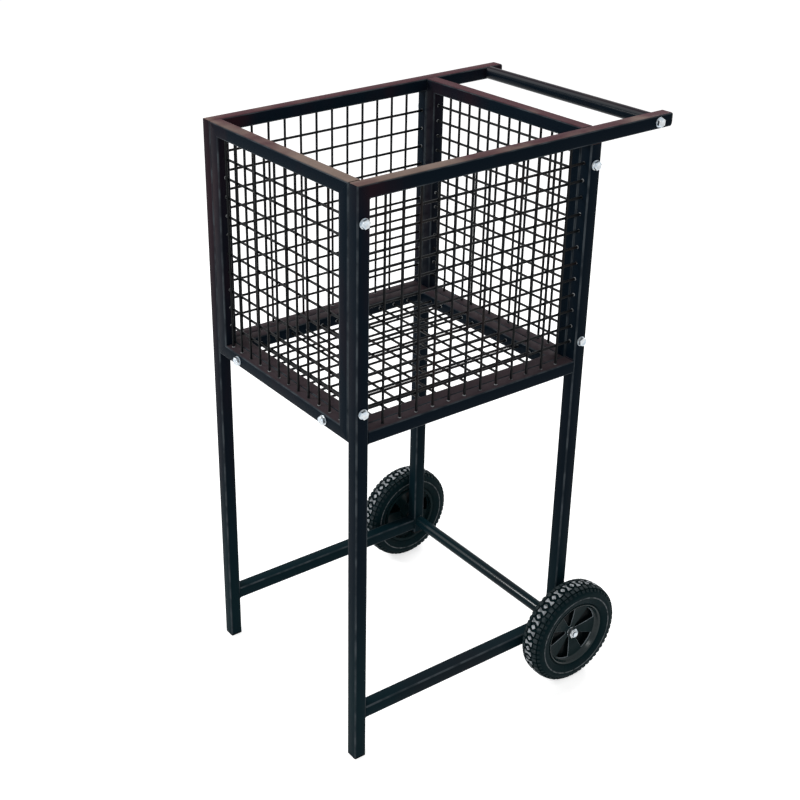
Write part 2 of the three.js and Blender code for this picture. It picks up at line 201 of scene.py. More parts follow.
world = bpy.data.worlds.new("white_room")
world.use_nodes = True
world_light = world.node_tree.nodes["Background"]
world_light.inputs["Color"].default_value = (1, 1, 1, 1)
lift = world.node_tree.nodes.new("ShaderNodeMapRange")
world.node_tree.links.new(seen_share(world.node_tree), lift.inputs["Value"])
lift.inputs["To Min"].default_value = ROOM_LIGHT
lift.inputs["To Max"].default_value = 1
world.node_tree.links.new(lift.outputs[0], world_light.inputs["Strength"])
bpy.context.scene.world = world

bpy.ops.object.select_all(action="DESELECT")
bpy.ops.mesh.primitive_plane_add(size=2 * FLOOR_HALF, location=(0, 0, -FLOOR_DROP))
floor = bpy.context.object
floor.name = "studio_floor"
floor_paint = Finish("floor_paint", Roughness=1.0, Specular_IOR_Level=0.0, Base_Color=FLOOR_GREY,
                     Emission_Color=(1, 1, 1, 1))
lift = floor_paint.tree.nodes.new("ShaderNodeMath")
lift.operation = "MULTIPLY"
lift.inputs[1].default_value = FLOOR_LIFT
floor_paint.tree.links.new(seen_share(floor_paint.tree), lift.inputs[0])
floor_paint.tree.links.new(lift.outputs[0], floor_paint.skin.inputs["Emission Strength"])
floor.data.materials.append(floor_paint.material)

# Tubes of the two side frames: cold-rolled square steel tube, mitred where the front leg turns
# into the top rail, welded, and powder coated in a semi-gloss blue black. A warm brown sheen is
# painted on the faces that look up, and plum reflections are painted in patches.
TUBE_WALL = 0.0015
TUBE_CORNER = 0.0022
CORNER_STEPS = 3
SMOOTH_ANGLE = math.radians(40)
COAT_DARK = (0.0030, 0.0072, 0.0125, 1)
COAT_TEAL = (0.0032, 0.0130, 0.0175, 1)
# Plum of a painted reflection, laid on in patches.
PLUM_PAINTED_REFLECTION = (0.0230, 0.0075, 0.0105, 1)
# Warm colours of a painted sheen on the faces that look up, standing in for a warm reflection.
PAINTED_SHEEN_BRONZE = (0.090, 0.030, 0.038, 1)
PAINTED_SHEEN_SAND = (0.250, 0.180, 0.148, 1)
PAINTED_SHEEN_DUSK = (0.050, 0.036, 0.041, 1)
# Light edge colour: a painted highlight, and worn coat.
COAT_EDGE_WEAR_AND_HIGHLIGHT = (0.060, 0.072, 0.082, 1)
AXES = {"X": Vector((1, 0, 0)), "Y": Vector((0, 1, 0)), "Z": Vector((0, 0, 1))}


def powder_coat_finish(name, gloss, rough, warmth, grain, sheen):
    """warmth is how strong the warm sheen painted on the faces that look up is, and sheen how strong the
    gloss line of a bar is.
    """
    coat = Finish(name, Metallic=0.0, IOR=gloss, Coat_Roughness=0.14, Coat_IOR=1.42)
    across, along, height = (coat.part(coat.place(), axis) for axis in range(3))
    far_side = coat.step(across, -0.02, -0.24)
    high = coat.step(height, 0.30, 0.55)
    basket_high = coat.step(height, 0.55, 0.78)
    # Painted reflection: plum patches, stronger on the high parts and on the far side.
    plum_reflection_patches = coat.step(coat.noise(6.5, 4.0, (1, 1, 0.35)) + 0.10 * far_side * basket_high, 0.50, 0.78)
    dark = coat.blend(coat.step(height, 0.42, 0.08), COAT_DARK, COAT_TEAL)
    colour = coat.blend((0.25 + 0.55 * basket_high) * plum_reflection_patches, dark, PLUM_PAINTED_REFLECTION)
    # Painted sheen: bronze to sand on the high faces that look up, dusky lower down, standing in for a warm
    # reflection.
    glow = coat.step(1.3 * coat.noise(9.0, 3.0) + 0.7 * across - 0.5 * along, 0.62, 0.92)
    warm = coat.blend(coat.step(height, 0.62, 0.96), PAINTED_SHEEN_DUSK, coat.blend(glow, PAINTED_SHEEN_BRONZE, PAINTED_SHEEN_SAND))
    up_share = warmth * high * coat.step(coat.part(coat.direction(), 2), 0.55, 0.95)
    colour = coat.blend(up_share * (0.62 + 0.4 * coat.noise(28, 4.0)), colour, warm)
    # Rounded edges painted lighter, less where the painted sheen lies: a painted highlight, and rubbed coat.
    worn_and_highlit = coat.mark("rounded_edge")
    scuffs = coat.step(coat.noise(34, 5.0), 0.36, 0.66)
    colour = coat.blend(worn_and_highlit * (1 - 0.6 * up_share) * (0.25 + 0.6 * scuffs), colour, COAT_EDGE_WEAR_AND_HIGHLIGHT)
    fine = coat.noise(780, 2.0)
    peel = coat.noise(260, 2.0)
    spread = rough + 0.16 * coat.noise(55, 4.0) + 0.05 * fine
    facing = coat.direction()
    shine = coat.step(coat.part(facing, 2) - coat.part(facing, 1), 1.36, 1.41)
    return coat.wear(Base_Color=colour, Roughness=spread, Coat_Weight=sheen * shine,
                     Normal=coat.bump(peel + 0.4 * fine, grain, 0.0004))


powder_coat = powder_coat_finish("powder_coat_blue_black", 1.07, 0.30, 1.0, 0.35, 0.0)
bar_coat = powder_coat_finish("powder_coat_bars", 1.12, 0.11, 0.15, 0.02, 0.9)


def start_fresh():
    bpy.ops.object.select_all(action="DESELECT")


def pick(kind, test):
    """In edit mode, selects the verts, edges or faces that pass the test, and nothing else."""
    bpy.ops.mesh.select_mode(type={"verts": "VERT", "edges": "EDGE", "faces": "FACE"}[kind])
    bpy.ops.mesh.select_all(action="DESELECT")
    shape = bmesh.from_edit_mesh(bpy.context.object.data)
    for item in getattr(shape, kind):
        item.select_set(test(item))
    shape.select_flush_mode()
    bmesh.update_edit_mesh(bpy.context.object.data)


def apply_modifier(piece, kind, **settings):
    modifier = piece.modifiers.new(kind.lower(), kind)
    for setting, value in settings.items():
        setattr(modifier, setting, value)
    bpy.context.view_layer.objects.active = piece
    bpy.ops.object.modifier_apply(modifier=modifier.name)


def hand_over(piece, name, material, body="cart", stands_for=()):
    """Names a finished piece, gives it its finish and fixes it to its body."""
    piece.name = name
    piece.data.name = name
    piece.data.materials.clear()
    piece.data.materials.append(material)
    start_fresh()
    piece.select_set(True)
    bpy.context.view_layer.objects.active = piece
    bpy.ops.object.shade_smooth_by_angle(angle=SMOOTH_ANGLE)
    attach(piece, body)
    if stands_for:
        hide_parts(*stands_for)


def direction(word):
    return AXES[word[1]] * (1 if word[0] == "+" else -1)


def square_tube(low, high, mitres):
    """An open square tube between two corners. mitres gives, for an end, the side where it is shorter."""
    size = high - low
    along = max(range(3), key=lambda i: size[i])
    start_fresh()
    bpy.ops.mesh.primitive_cube_add(size=1, location=(low + high) / 2, scale=size)
    bpy.ops.object.transform_apply(location=True, rotation=True, scale=True)
    tube = bpy.context.object
    bpy.ops.object.mode_set(mode="EDIT")
    pick("faces", lambda face: abs(face.normal[along]) > 0.5)
    bpy.ops.mesh.delete(type="FACE")
    pick("edges", lambda edge: abs((edge.verts[0].co - edge.verts[1].co)[along]) > TUBE_CORNER)
    bpy.ops.mesh.bevel(offset=TUBE_CORNER, segments=CORNER_STEPS, affect="EDGES")
    bpy.ops.object.mode_set(mode="OBJECT")
    apply_modifier(tube, "SOLIDIFY", thickness=TUBE_WALL, offset=-1)
    bpy.ops.object.mode_set(mode="EDIT")
    for end, short in mitres.items():
        way = Vector([(1 if end == "high" else -1) if i == along else 0 for i in range(3)])
        side = direction(short)
        corner = Vector([(high if w > 0 else low)[i] for i, w in enumerate(way - side)])
        bpy.ops.mesh.select_all(action="SELECT")
        bpy.ops.mesh.bisect(plane_co=corner, plane_no=(way + side).normalized(), use_fill=True,
                            clear_outer=True)
    bpy.ops.object.mode_set(mode="OBJECT")
    mark_edges(tube)
    apply_modifier(tube, "WEIGHTED_NORMAL", keep_sharp=True)
    return tube


def mark_edges(tube):
    """Marks the rounded corners, which are painted lighter: as a painted highlight, and as wear where the
    coat is thinnest and rubs first.
    """
    mark = tube.data.attributes.new("rounded_edge", "FLOAT", "CORNER")
    for face in tube.data.polygons:
        slanted = max(abs(part) for part in face.normal) < 0.985
        for corner in face.loop_indices:
            mark.data[corner].value = 1.0 if slanted else 0.0


SIDE_TUBES = {
    "front_leg": {"high": "+Y"},
    "rear_leg": {},
    "top_rail": {"low": "-Z"},
    "basket_rail": {},
    "lower_rail": {},
}
for side in ("left", "right"):
    for part, mitres in SIDE_TUBES.items():
        node = f"{side}_{part}"
        tube = square_tube(*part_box(node), mitres)
        hand_over(tube, f"{node}_tube", powder_coat, stands_for=[node])

# Weld beads: short rippled runs of weld in the inner corners, where the rails of a side frame
# meet its legs. They are coated together with the tubes. One bead is made and copied.
BEAD_RADIUS = 0.0016
BEAD_LENGTH = 0.020
BEAD_RIPPLES = 13
BEAD_SIDES = 8
BEAD_DIP_SHARE = 0.8
BEAD_TIP_SHARE = 0.45
quarter_turn = math.pi / 2


def bead_model():
    start_fresh()
    bpy.ops.mesh.primitive_cylinder_add(vertices=BEAD_SIDES, radius=BEAD_RADIUS, depth=BEAD_LENGTH,
                                        end_fill_type="TRIFAN", rotation=(0, quarter_turn, 0))
    bpy.ops.object.transform_apply(location=True, rotation=True, scale=True)
    bpy.ops.object.mode_set(mode="EDIT")
    pick("edges", lambda edge: abs((edge.verts[0].co - edge.verts[1].co).x) > BEAD_LENGTH / 2)
    bpy.ops.mesh.subdivide(number_cuts=2 * BEAD_RIPPLES - 1)
    pitch = BEAD_LENGTH / (2 * BEAD_RIPPLES)
    pick("verts", lambda vert: round((vert.co.x + BEAD_LENGTH / 2) / pitch) % 2 == 0)
    bpy.ops.transform.resize(value=(1, BEAD_DIP_SHARE, BEAD_DIP_SHARE), center_override=(0, 0, 0))
    pick("verts", lambda vert: abs(vert.co.x) > BEAD_LENGTH / 2 - pitch / 2)
    bpy.ops.transform.resize(value=(1, BEAD_TIP_SHARE, BEAD_TIP_SHARE), center_override=(0, 0, 0))
    bpy.ops.object.mode_set(mode="OBJECT")
    return bpy.context.object


def copy_of(model, matrix):
    """A copy with its own mesh, moved there in its mesh."""
    piece = model.copy()
    piece.data = model.data.copy()
    piece.data.transform(matrix)
    bpy.context.scene.collection.objects.link(piece)
    return piece


def join_pieces(parts):
    start_fresh()
    for part in parts:
        part.select_set(True)
    bpy.context.view_layer.objects.active = parts[0]
    bpy.ops.object.join()
    return bpy.context.object


bead = bead_model()
upright_bead = Matrix.Rotation(quarter_turn, 4, "Y")
for side, sign in (("left", -1), ("right", 1)):
    beads = []
    for part in ("basket_rail", "lower_rail", "top_rail"):
        low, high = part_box(f"{side}_{part}")
        for leg, toward in (("front_leg", 1), ("rear_leg", -1)):
            leg_low, leg_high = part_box(f"{side}_{leg}")
            y = leg_high.y if toward > 0 else leg_low.y
            x = (low.x + high.x) / 2
            beads.append(copy_of(bead, Matrix.Translation((x, y, low.z))))
            if part != "top_rail":
                beads.append(copy_of(bead, Matrix.Translation((x, y, high.z))))
                inner = low.x if sign > 0 else high.x
                spot = Matrix.Translation((inner, y, (low.z + high.z) / 2))
                beads.append(copy_of(bead, spot @ upright_bead))
    hand_over(join_pieces(beads), f"{side}_frame_welds", powder_coat)

# Wire mesh of the side frames: straight steel wires, spot welded to each other at every
# crossing and to the tubes at their ends, then powder coated. Upright wires lie outside,
# cross wires inside.
WIRE_RADIUS = 0.0021
WIRE_SIDES = 10
WIRE_BITE = 0.00035
WIRE_WANDER = 0.0004
WIRE_LEAN = 0.0012
NUGGET_RADIUS = 0.0029
NUGGET_FLAT_SHARE = 0.55
NUGGET_SEGMENTS = 8
NUGGET_RINGS = 6
WIRE_COAT = (0.0012, 0.0020, 0.0030, 1)
WIRE_GREY = (0.030, 0.034, 0.038, 1)
WIRE_RUST = (0.012, 0.005, 0.004, 1)
# Weld spots: bare weld metal with a painted glint.
WELD_BARE_AND_GLINT = (0.240, 0.250, 0.260, 1)
random.seed(7)


def wire_finish():
    coat = Finish("coated_wire", Metallic=0.0, IOR=1.2)
    thin = coat.step(coat.noise(120, 3.0), 0.58, 0.74)
    warm = coat.step(coat.noise(9, 2.0), 0.5, 0.75)
    colour = coat.blend(warm * 0.6, coat.blend(thin * 0.35, WIRE_COAT, WIRE_GREY), WIRE_RUST)
    # Painted highlight: the faces that look up are painted lighter grey.
    colour = coat.blend(0.35 * coat.step(coat.part(coat.direction(), 2), 0.6, 1.0), colour, WIRE_GREY)
    # Weld spots painted light grey in patches: bare weld metal and a painted glint.
    spot = coat.mark("weld_spot")
    colour = coat.blend(spot * coat.step(coat.noise(60, 3.0), 0.44, 0.60), colour, WELD_BARE_AND_GLINT)
    return coat.wear(Base_Color=colour, Roughness=0.30 + 0.2 * coat.noise(90, 2.0),
                     Normal=coat.bump(coat.noise(420, 2.0), 0.3, 0.0004))


wire_coat = wire_finish()
start_fresh()
bpy.ops.mesh.primitive_cylinder_add(vertices=WIRE_SIDES, radius=WIRE_RADIUS, depth=1, end_fill_type="NGON")
wire = bpy.context.object
start_fresh()
bpy.ops.mesh.primitive_uv_sphere_add(segments=NUGGET_SEGMENTS, ring_count=NUGGET_RINGS, radius=NUGGET_RADIUS)
nugget = bpy.context.object
nugget.data.transform(Matrix.Diagonal((1, 1, NUGGET_FLAT_SHARE, 1)))
mark = nugget.data.attributes.new("weld_spot", "FLOAT", "CORNER")
mark.data.foreach_set("value", [1.0] * len(mark.data))


def wire_mesh(span, depth, uprights, cross_wires):
    """A mesh of span by depth, lying in x and y. Each pattern is a count and an inset."""
    layer = WIRE_RADIUS - WIRE_BITE
    parts = []
    for (count, inset), reach, length, height, turn in (
        (uprights, span, depth, layer, 0), (cross_wires, depth, span, -layer, 1)):
        pitch = (reach - 2 * inset) / (count - 1)
        for i in range(count):
            offset = (i - (count - 1) / 2) * pitch + random.uniform(-1, 1) * WIRE_WANDER
            lean = random.uniform(-1, 1) * WIRE_LEAN
            stand = Matrix.Rotation(-quarter_turn, 4, "X") @ Matrix.Diagonal((1, 1, length, 1))
            spot = Matrix.Translation((offset, 0, height)) @ Matrix.Rotation(lean, 4, "Z") @ stand
            swing = Matrix.Rotation(quarter_turn, 4, "Z") if turn else Matrix.Identity(4)
            parts.append(copy_of(wire, swing @ spot))
            for end in (-1, 1):
                foot = Matrix.Translation((offset - end * lean * length / 2, end * length / 2, height))
                tip = foot @ Matrix.Rotation(quarter_turn, 4, "X")
                parts.append(copy_of(nugget, swing @ tip))
    return join_pieces(parts)


SIDE_UPRIGHTS = (12, 0.03225)
SIDE_CROSS = {"right": (12, 0.0309), "left": (10, 0.0356)}
for side, sign in (("left", -1), ("right", 1)):
    low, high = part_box(f"{side}_side_mesh")
    centre = (low + high) / 2
    net = wire_mesh(high.y - low.y, high.z - low.z, SIDE_UPRIGHTS, SIDE_CROSS[side])
    net.data.transform(Matrix.Translation(centre) @ Matrix.Rotation(sign * quarter_turn, 4, "Z")
                       @ Matrix.Rotation(quarter_turn, 4, "X"))
    hand_over(net, f"{side}_side_wires", wire_coat, stands_for=[f"{side}_side_mesh"])

# Front and rear panels: mitred frames of the same tube with their own wire mesh, made as
# loose panels and bolted between the legs, so that a dark gap shows beside each leg.
PANEL_TUBES = {
    "left_stile": {"low": "+X", "high": "+X"},
    "right_stile": {"low": "-X", "high": "-X"},
    "top_rail": {"low": "-Z", "high": "-Z"},
    "bottom_rail": {"low": "+Z", "high": "+Z"},
}
PANEL_WIRES = {
    "front": ((12, 0.00985), (10, 0.0347), 0),
    "rear": ((12, 0.0291), (13, 0.0221), math.pi),
}
for end, (uprights, cross_wires, turn) in PANEL_WIRES.items():
    for part, mitres in PANEL_TUBES.items():
        node = f"{end}_panel_{part}"
        tube = square_tube(*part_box(node), mitres)
        hand_over(tube, f"{node}_tube", powder_coat, stands_for=[node])
    low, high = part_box(f"{end}_panel_mesh")
    net = wire_mesh(high.x - low.x, high.z - low.z, uprights, cross_wires)
    net.data.transform(Matrix.Translation((low + high) / 2) @ Matrix.Rotation(turn, 4, "Z")
                       @ Matrix.Rotation(quarter_turn, 4, "X"))
    hand_over(net, f"{end}_panel_wires", wire_coat, stands_for=[f"{end}_panel_mesh"])

# Tray, the basket floor: a mitred frame of the same tube with a wire mesh across it, set
# between the basket rails and bolted to the bottom rails of both panels.
TRAY_TUBES = {
    "front_tube": {"low": "+Y", "high": "+Y"},
    "rear_tube": {"low": "-Y", "high": "-Y"},
    "left_tube": {"low": "+X", "high": "+X"},
    "right_tube": {"low": "-X", "high": "-X"},
}
TRAY_LONG_WIRES = (10, 0.035)
TRAY_CROSS_WIRES = (11, 0.0255)
for part, mitres in TRAY_TUBES.items():
    node = f"tray_{part}"
    tube = square_tube(*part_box(node), mitres)
    hand_over(tube, node.replace("_tube", "_square_tube"), powder_coat, stands_for=[node])
low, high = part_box("tray_mesh")
net = wire_mesh(high.x - low.x, high.y - low.y, TRAY_LONG_WIRES, TRAY_CROSS_WIRES)
net.data.transform(Matrix.Translation((low + high) / 2))
hand_over(net, "tray_wires", wire_coat, stands_for=["tray_mesh"])

# Bolts: zinc-plated M8 hex bolts, each with a pressed washer. Those of the panels and the tray
# have their nut inside the tube behind; those of the push bar run into its tapped ends.
BOLT_RADIUS = 0.004
BOLT_SIDES = 16
HEAD_ACROSS = 0.013
HEAD_HEIGHT = 0.0053
WASHER_RADIUS = 0.008
WASHER_SIDES = 36
WASHER_HEIGHT = 0.0016
NUT_SEAT = -0.0243
NUT_HEIGHT = 0.0065
PANEL_SHANK_END = -0.0328
HANDLE_SHANK_END = -0.0403
THREAD_PITCH = 0.00125
THREAD_ROOT_SHARE = 0.88
TOUCHING = 1e-6
SHANK_CHAMFER = 0.0004
WASHER_CHAMFER = 0.00035
HEAD_SINK = 0.0002
HEAD_COLLAR_SHARE = 0.96
HEAD_COLLAR_SINK = 0.0001
HEAD_COLLAR_HEIGHT = 0.0007
HEAD_COLLAR_CHAMFER = 0.0001
HEAD_COLLAR_SIDES = 30
HEAD_CORNER_SHARE = 0.07
HEAD_RIM_SHARE = 0.12
HEAD_STEP_SHARE = 0.04
HEAD_DISH_SHARE = 0.03
ZINC = (0.62, 0.65, 0.67, 1)
ZINC_BLUE = (0.50, 0.57, 0.63, 1)
ZINC_DULL = (0.34, 0.36, 0.37, 1)


def zinc_finish():
    zinc = Finish("bright_zinc_plate", Metallic=1.0)
    tint = zinc.step(zinc.noise(160, 3.0), 0.42, 0.62)
    dull = zinc.step(zinc.noise(420, 4.0), 0.55, 0.75)
    colour = zinc.blend(0.5 * dull, zinc.blend(tint, ZINC, ZINC_BLUE), ZINC_DULL)
    grain = zinc.noise(900, 2.0, (1, 1, 6))
    return zinc.wear(Base_Color=colour, Roughness=0.24 + 0.22 * dull + 0.1 * grain,
                     Normal=zinc.bump(grain, 0.25, 0.0002))


bright_zinc = zinc_finish()


def rod(radius, low, high, sides, bevel=0.0, steps=2):
    """A round or six-sided rod along z, with both end edges rounded."""
    start_fresh()
    bpy.ops.mesh.primitive_cylinder_add(vertices=sides, radius=radius, depth=high - low,
                                        location=(0, 0, (low + high) / 2))
    bpy.ops.object.transform_apply(location=True, rotation=True, scale=True)
    if bevel:
        bpy.ops.object.mode_set(mode="EDIT")
        pick("edges", lambda edge: abs((edge.verts[0].co - edge.verts[1].co).z) < TOUCHING)
        bpy.ops.mesh.bevel(offset=bevel, segments=steps, affect="EDGES")
        bpy.ops.object.mode_set(mode="OBJECT")
    return bpy.context.object


def cut_thread(low, high):
    """Cuts thread rings into the selected rod between two heights."""
    bpy.ops.object.mode_set(mode="EDIT")
    level = low
    turn = 0
    while level < high:
        bpy.ops.mesh.select_all(action="SELECT")
        bpy.ops.mesh.bisect(plane_co=(0, 0, level), plane_no=(0, 0, 1))
        if turn % 2:
            pick("verts", lambda vert: abs(vert.co.z - level) < TOUCHING)
            bpy.ops.transform.resize(value=(THREAD_ROOT_SHARE, THREAD_ROOT_SHARE, 1),
                                     center_override=(0, 0, 0))
        level += THREAD_PITCH / 2
        turn += 1
    bpy.ops.object.mode_set(mode="OBJECT")


def hex_head(across, low, high):
    """A six-sided head with its corners turned down and a shallow dish in its top."""
    radius = across / 2 / math.cos(math.pi / 6)
    head = rod(radius, low, high, 6)
    bpy.ops.object.mode_set(mode="EDIT")
    pick("faces", lambda face: face.normal.z > 0.9)
    bpy.ops.mesh.bevel(offset=across * HEAD_CORNER_SHARE, segments=2, affect="EDGES")
    pick("faces", lambda face: face.normal.z > 0.99)
    bpy.ops.mesh.inset(thickness=across * HEAD_RIM_SHARE)
    bpy.ops.mesh.inset(thickness=across * HEAD_STEP_SHARE)
    bpy.ops.transform.translate(value=(0, 0, -across * HEAD_DISH_SHARE))
    bpy.ops.object.mode_set(mode="OBJECT")
    return head


def headed_bolt(shank_end, nut):
    parts = [
        rod(BOLT_RADIUS, shank_end, WASHER_HEIGHT / 2, BOLT_SIDES, SHANK_CHAMFER),
        rod(WASHER_RADIUS, 0, WASHER_HEIGHT, WASHER_SIDES, WASHER_CHAMFER),
        hex_head(HEAD_ACROSS, WASHER_HEIGHT - HEAD_SINK, WASHER_HEIGHT + HEAD_HEIGHT),
        rod(HEAD_ACROSS / 2 * HEAD_COLLAR_SHARE, WASHER_HEIGHT - HEAD_COLLAR_SINK,
            WASHER_HEIGHT + HEAD_COLLAR_HEIGHT, HEAD_COLLAR_SIDES, HEAD_COLLAR_CHAMFER, 1),
    ]
    if nut:
        parts.append(hex_head(HEAD_ACROSS, NUT_SEAT - NUT_HEIGHT, NUT_SEAT))
    return join_pieces(parts)


panel_bolt = headed_bolt(PANEL_SHANK_END, nut=True)
handle_bolt = headed_bolt(HANDLE_SHANK_END, nut=False)
facings = {
    "left": Matrix.Rotation(-quarter_turn, 4, "Y"),
    "right": Matrix.Rotation(quarter_turn, 4, "Y"),
    "front": Matrix.Rotation(quarter_turn, 4, "X"),
    "rear": Matrix.Rotation(-quarter_turn, 4, "X"),
}


def seat_bolt(model, node, facing):
    """Sets a copy of a bolt in its CAD node's place, with its washer against the tube."""
    low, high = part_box(node)
    centre = (low + high) / 2
    top = WASHER_HEIGHT + HEAD_HEIGHT
    out = facings[facing] @ Vector((0, 0, 1))
    seat = Vector([(high if out[i] > 0.5 else low if out[i] < -0.5 else centre)[i] for i in range(3)])
    spin = Matrix.Rotation(random.uniform(0, math.pi / 3), 4, "Z")
    bolt = copy_of(model, Matrix.Translation(seat - out * top) @ facings[facing] @ spin)
    hand_over(bolt, f"{node}_zinc", bright_zinc, stands_for=[node])


for side in ("left", "right"):
    for end in ("front", "rear"):
        for level in ("upper", "lower"):
            seat_bolt(panel_bolt, f"{end}_{side}_{level}_panel_bolt", side)
        seat_bolt(panel_bolt, f"{end}_{side}_tray_bolt", end)
    seat_bolt(handle_bolt, f"{side}_handle_bolt", side)

# Push bar: a round powder-coated tube across the two rail ends. A plug tapped for the bolt is
# welded into each end.
BAR_RADIUS = 0.011
BAR_WALL = 0.0015
BAR_END = 0.012
TAPPED_RADIUS = 0.0045
BAR_CHAMFER = 0.0006
ROUND_SIDES = 48


def turned(outline, sides):
    """A closed body turned about the X axis, from an outline of (radius, x) points."""
    start_fresh()
    bpy.ops.mesh.primitive_circle_add(vertices=len(outline), radius=1)
    body = bpy.context.object
    bpy.ops.object.mode_set(mode="EDIT")
    shape = bmesh.from_edit_mesh(body.data)
    for vert, (radius, x) in zip(shape.verts, outline):
        vert.co = (x, 0, radius)
    bmesh.update_edit_mesh(body.data)
    bpy.ops.mesh.select_all(action="SELECT")
    bpy.ops.mesh.spin(steps=sides, angle=2 * math.pi, center=(0, 0, 0), axis=(1, 0, 0))
    bpy.ops.mesh.select_all(action="SELECT")
    bpy.ops.mesh.remove_doubles(threshold=TOUCHING)
    bpy.ops.mesh.normals_make_consistent(inside=False)
    bpy.ops.object.mode_set(mode="OBJECT")
    return body


low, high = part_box("handle_bar")
centre = (low + high) / 2
half = (high.x - low.x) / 2
bar_bore = BAR_RADIUS - BAR_WALL
bar = turned([
    (TAPPED_RADIUS, -half), (BAR_RADIUS - BAR_CHAMFER, -half), (BAR_RADIUS, -half + BAR_CHAMFER),
    (BAR_RADIUS, half - BAR_CHAMFER), (BAR_RADIUS - BAR_CHAMFER, half), (TAPPED_RADIUS, half),
    (TAPPED_RADIUS, half - BAR_END), (bar_bore, half - BAR_END),
    (bar_bore, BAR_END - half), (TAPPED_RADIUS, BAR_END - half),
], ROUND_SIDES)
bar.data.transform(Matrix.Translation(centre))
hand_over(bar, "push_bar", bar_coat, stands_for=["handle_bar"])

# Cross tube: a round tube welded between the rear legs, with a rippled bead round each end.
# The axle, a zinc-plated rod threaded at both ends, runs through it.
CROSS_RADIUS = 0.011
CROSS_WALL = 0.002
RING_STEPS = 72
RING_INSET = 0.0006
AXLE_RADIUS = 0.005
AXLE_SIDES = 24
AXLE_CHAMFER = 0.0006
THREAD_START = 0.001
THREAD_END = 0.014
low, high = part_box("cross_tube")
centre = (low + high) / 2
half = (high.x - low.x) / 2
cross_tube = turned([
    (CROSS_RADIUS - CROSS_WALL, -half), (CROSS_RADIUS, -half),
    (CROSS_RADIUS, half), (CROSS_RADIUS - CROSS_WALL, half),
], ROUND_SIDES)
rings = []
for end in (-1, 1):
    start_fresh()
    bpy.ops.mesh.primitive_torus_add(major_segments=RING_STEPS, minor_segments=BEAD_SIDES,
                                     major_radius=CROSS_RADIUS, minor_radius=BEAD_RADIUS,
                                     rotation=(0, quarter_turn, 0))
    bpy.ops.object.transform_apply(location=True, rotation=True, scale=True)
    ring = bpy.context.object
    for vert in ring.data.vertices:
        angle = math.atan2(vert.co.z, vert.co.y)
        if round(angle / (2 * math.pi) * RING_STEPS) % 2:
            spine = Vector((0, math.cos(angle), math.sin(angle))) * CROSS_RADIUS
            vert.co = spine + (vert.co - spine) * BEAD_DIP_SHARE
    ring.data.transform(Matrix.Translation((end * (half - RING_INSET), 0, 0)))
    rings.append(ring)
cross_tube = join_pieces([cross_tube, *rings])
cross_tube.data.transform(Matrix.Translation(centre))
hand_over(cross_tube, "cross_tube_welded", bar_coat, stands_for=["cross_tube"])

low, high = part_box("axle_rod")
reach = (high.x - low.x) / 2
axle = rod(AXLE_RADIUS, -reach, reach, AXLE_SIDES, AXLE_CHAMFER)
cut_thread(-reach + THREAD_START, -reach + THREAD_END)
cut_thread(reach - THREAD_END, reach - THREAD_START)
axle.data.transform(Matrix.Translation((low + high) / 2) @ Matrix.Rotation(quarter_turn, 4, "Y"))
hand_over(axle, "axle_threaded_rod", bright_zinc, stands_for=["axle_rod"])

# Tyres: moulded rubber. Diamonds and waisted blocks take turns round the crown, lugs stand on
# the shoulders, and one fine raised line runs round each sidewall. The tops of the blocks are
# painted light grey, as rubbed wear and a painted highlight; the raised line as a painted highlight.
TYRE_SIDES = 112
TREAD_REPEATS = 28
RUBBER = (0.0022, 0.0105, 0.0130, 1)
# Light grey of the block tops and the raised line: a painted highlight, and rubbed wear on the tops.
RUBBER_WORN_AND_HIGHLIT = (0.420, 0.445, 0.470, 1)
RUBBER_DUST = (0.010, 0.014, 0.016, 1)
TYRE_HALF_OUTLINE = [
    (0.0603, 0.0160), (0.0612, 0.0180), (0.0632, 0.0196), (0.0665, 0.0208), (0.0710, 0.0220),
    (0.0742, 0.0223), (0.0748, 0.0229), (0.0757, 0.0230), (0.0763, 0.0225), (0.0800, 0.0226),
    (0.0832, 0.0219), (0.0860, 0.0203), (0.0884, 0.0177), (0.0900, 0.0137), (0.0909, 0.0085),
    (0.0912, 0.0030),
]
RAISED_LINE = (0.0742, 0.0763)
DIAMOND = [
    (-0.0054, 0), (-0.0012, -0.0044), (0.0012, -0.0044), (0.0054, 0), (0.0012, 0.0044), (-0.0012, 0.0044),
]
WAISTED = [
    (-0.0088, -0.0046), (-0.0064, -0.0046), (-0.0020, -0.0018), (0.0020, -0.0018), (0.0064, -0.0046),
    (0.0088, -0.0046), (0.0088, 0.0046), (0.0064, 0.0046), (0.0020, 0.0018), (-0.0020, 0.0018),
    (-0.0064, 0.0046), (-0.0088, 0.0046),
]
POINTED_LUG = [(-0.0060, 0), (-0.0026, -0.0048), (0.0046, -0.0044), (0.0046, 0.0044), (-0.0026, 0.0048)]
SQUARE_LUG = [(-0.0036, -0.0043), (0.0034, -0.0041), (0.0034, 0.0041), (-0.0036, 0.0043)]
EDGE_LUG = [(-0.0026, -0.0038), (0.0026, -0.0030), (0.0026, 0.0030), (-0.0026, 0.0038)]
TREAD = [
    # outline, on both sides, distance from the middle, radius of the top, tilt, part of a repeat, worn and
    # painted highlight share
    (DIAMOND, False, 0, 0.0948, 0, 0, 1.0),
    (WAISTED, False, 0, 0.0946, 0, 0.5, 0.85),
    (POINTED_LUG, True, 0.0125, 0.0932, 14, 0, 0.08),
    (SQUARE_LUG, True, 0.0140, 0.0928, 18, 0.5, 0.06),
    (EDGE_LUG, True, 0.0199, 0.0884, 52, 0, 0.03),
    (EDGE_LUG, True, 0.0199, 0.0884, 52, 0.5, 0.03),
]
BLOCK_DEPTH = 0.005
BLOCK_TAPER_SHARES = (0.88, 0.86, 1)
BLOCK_CHAMFER = 0.0006
LINE_PAINTED_HIGHLIGHT = 0.30


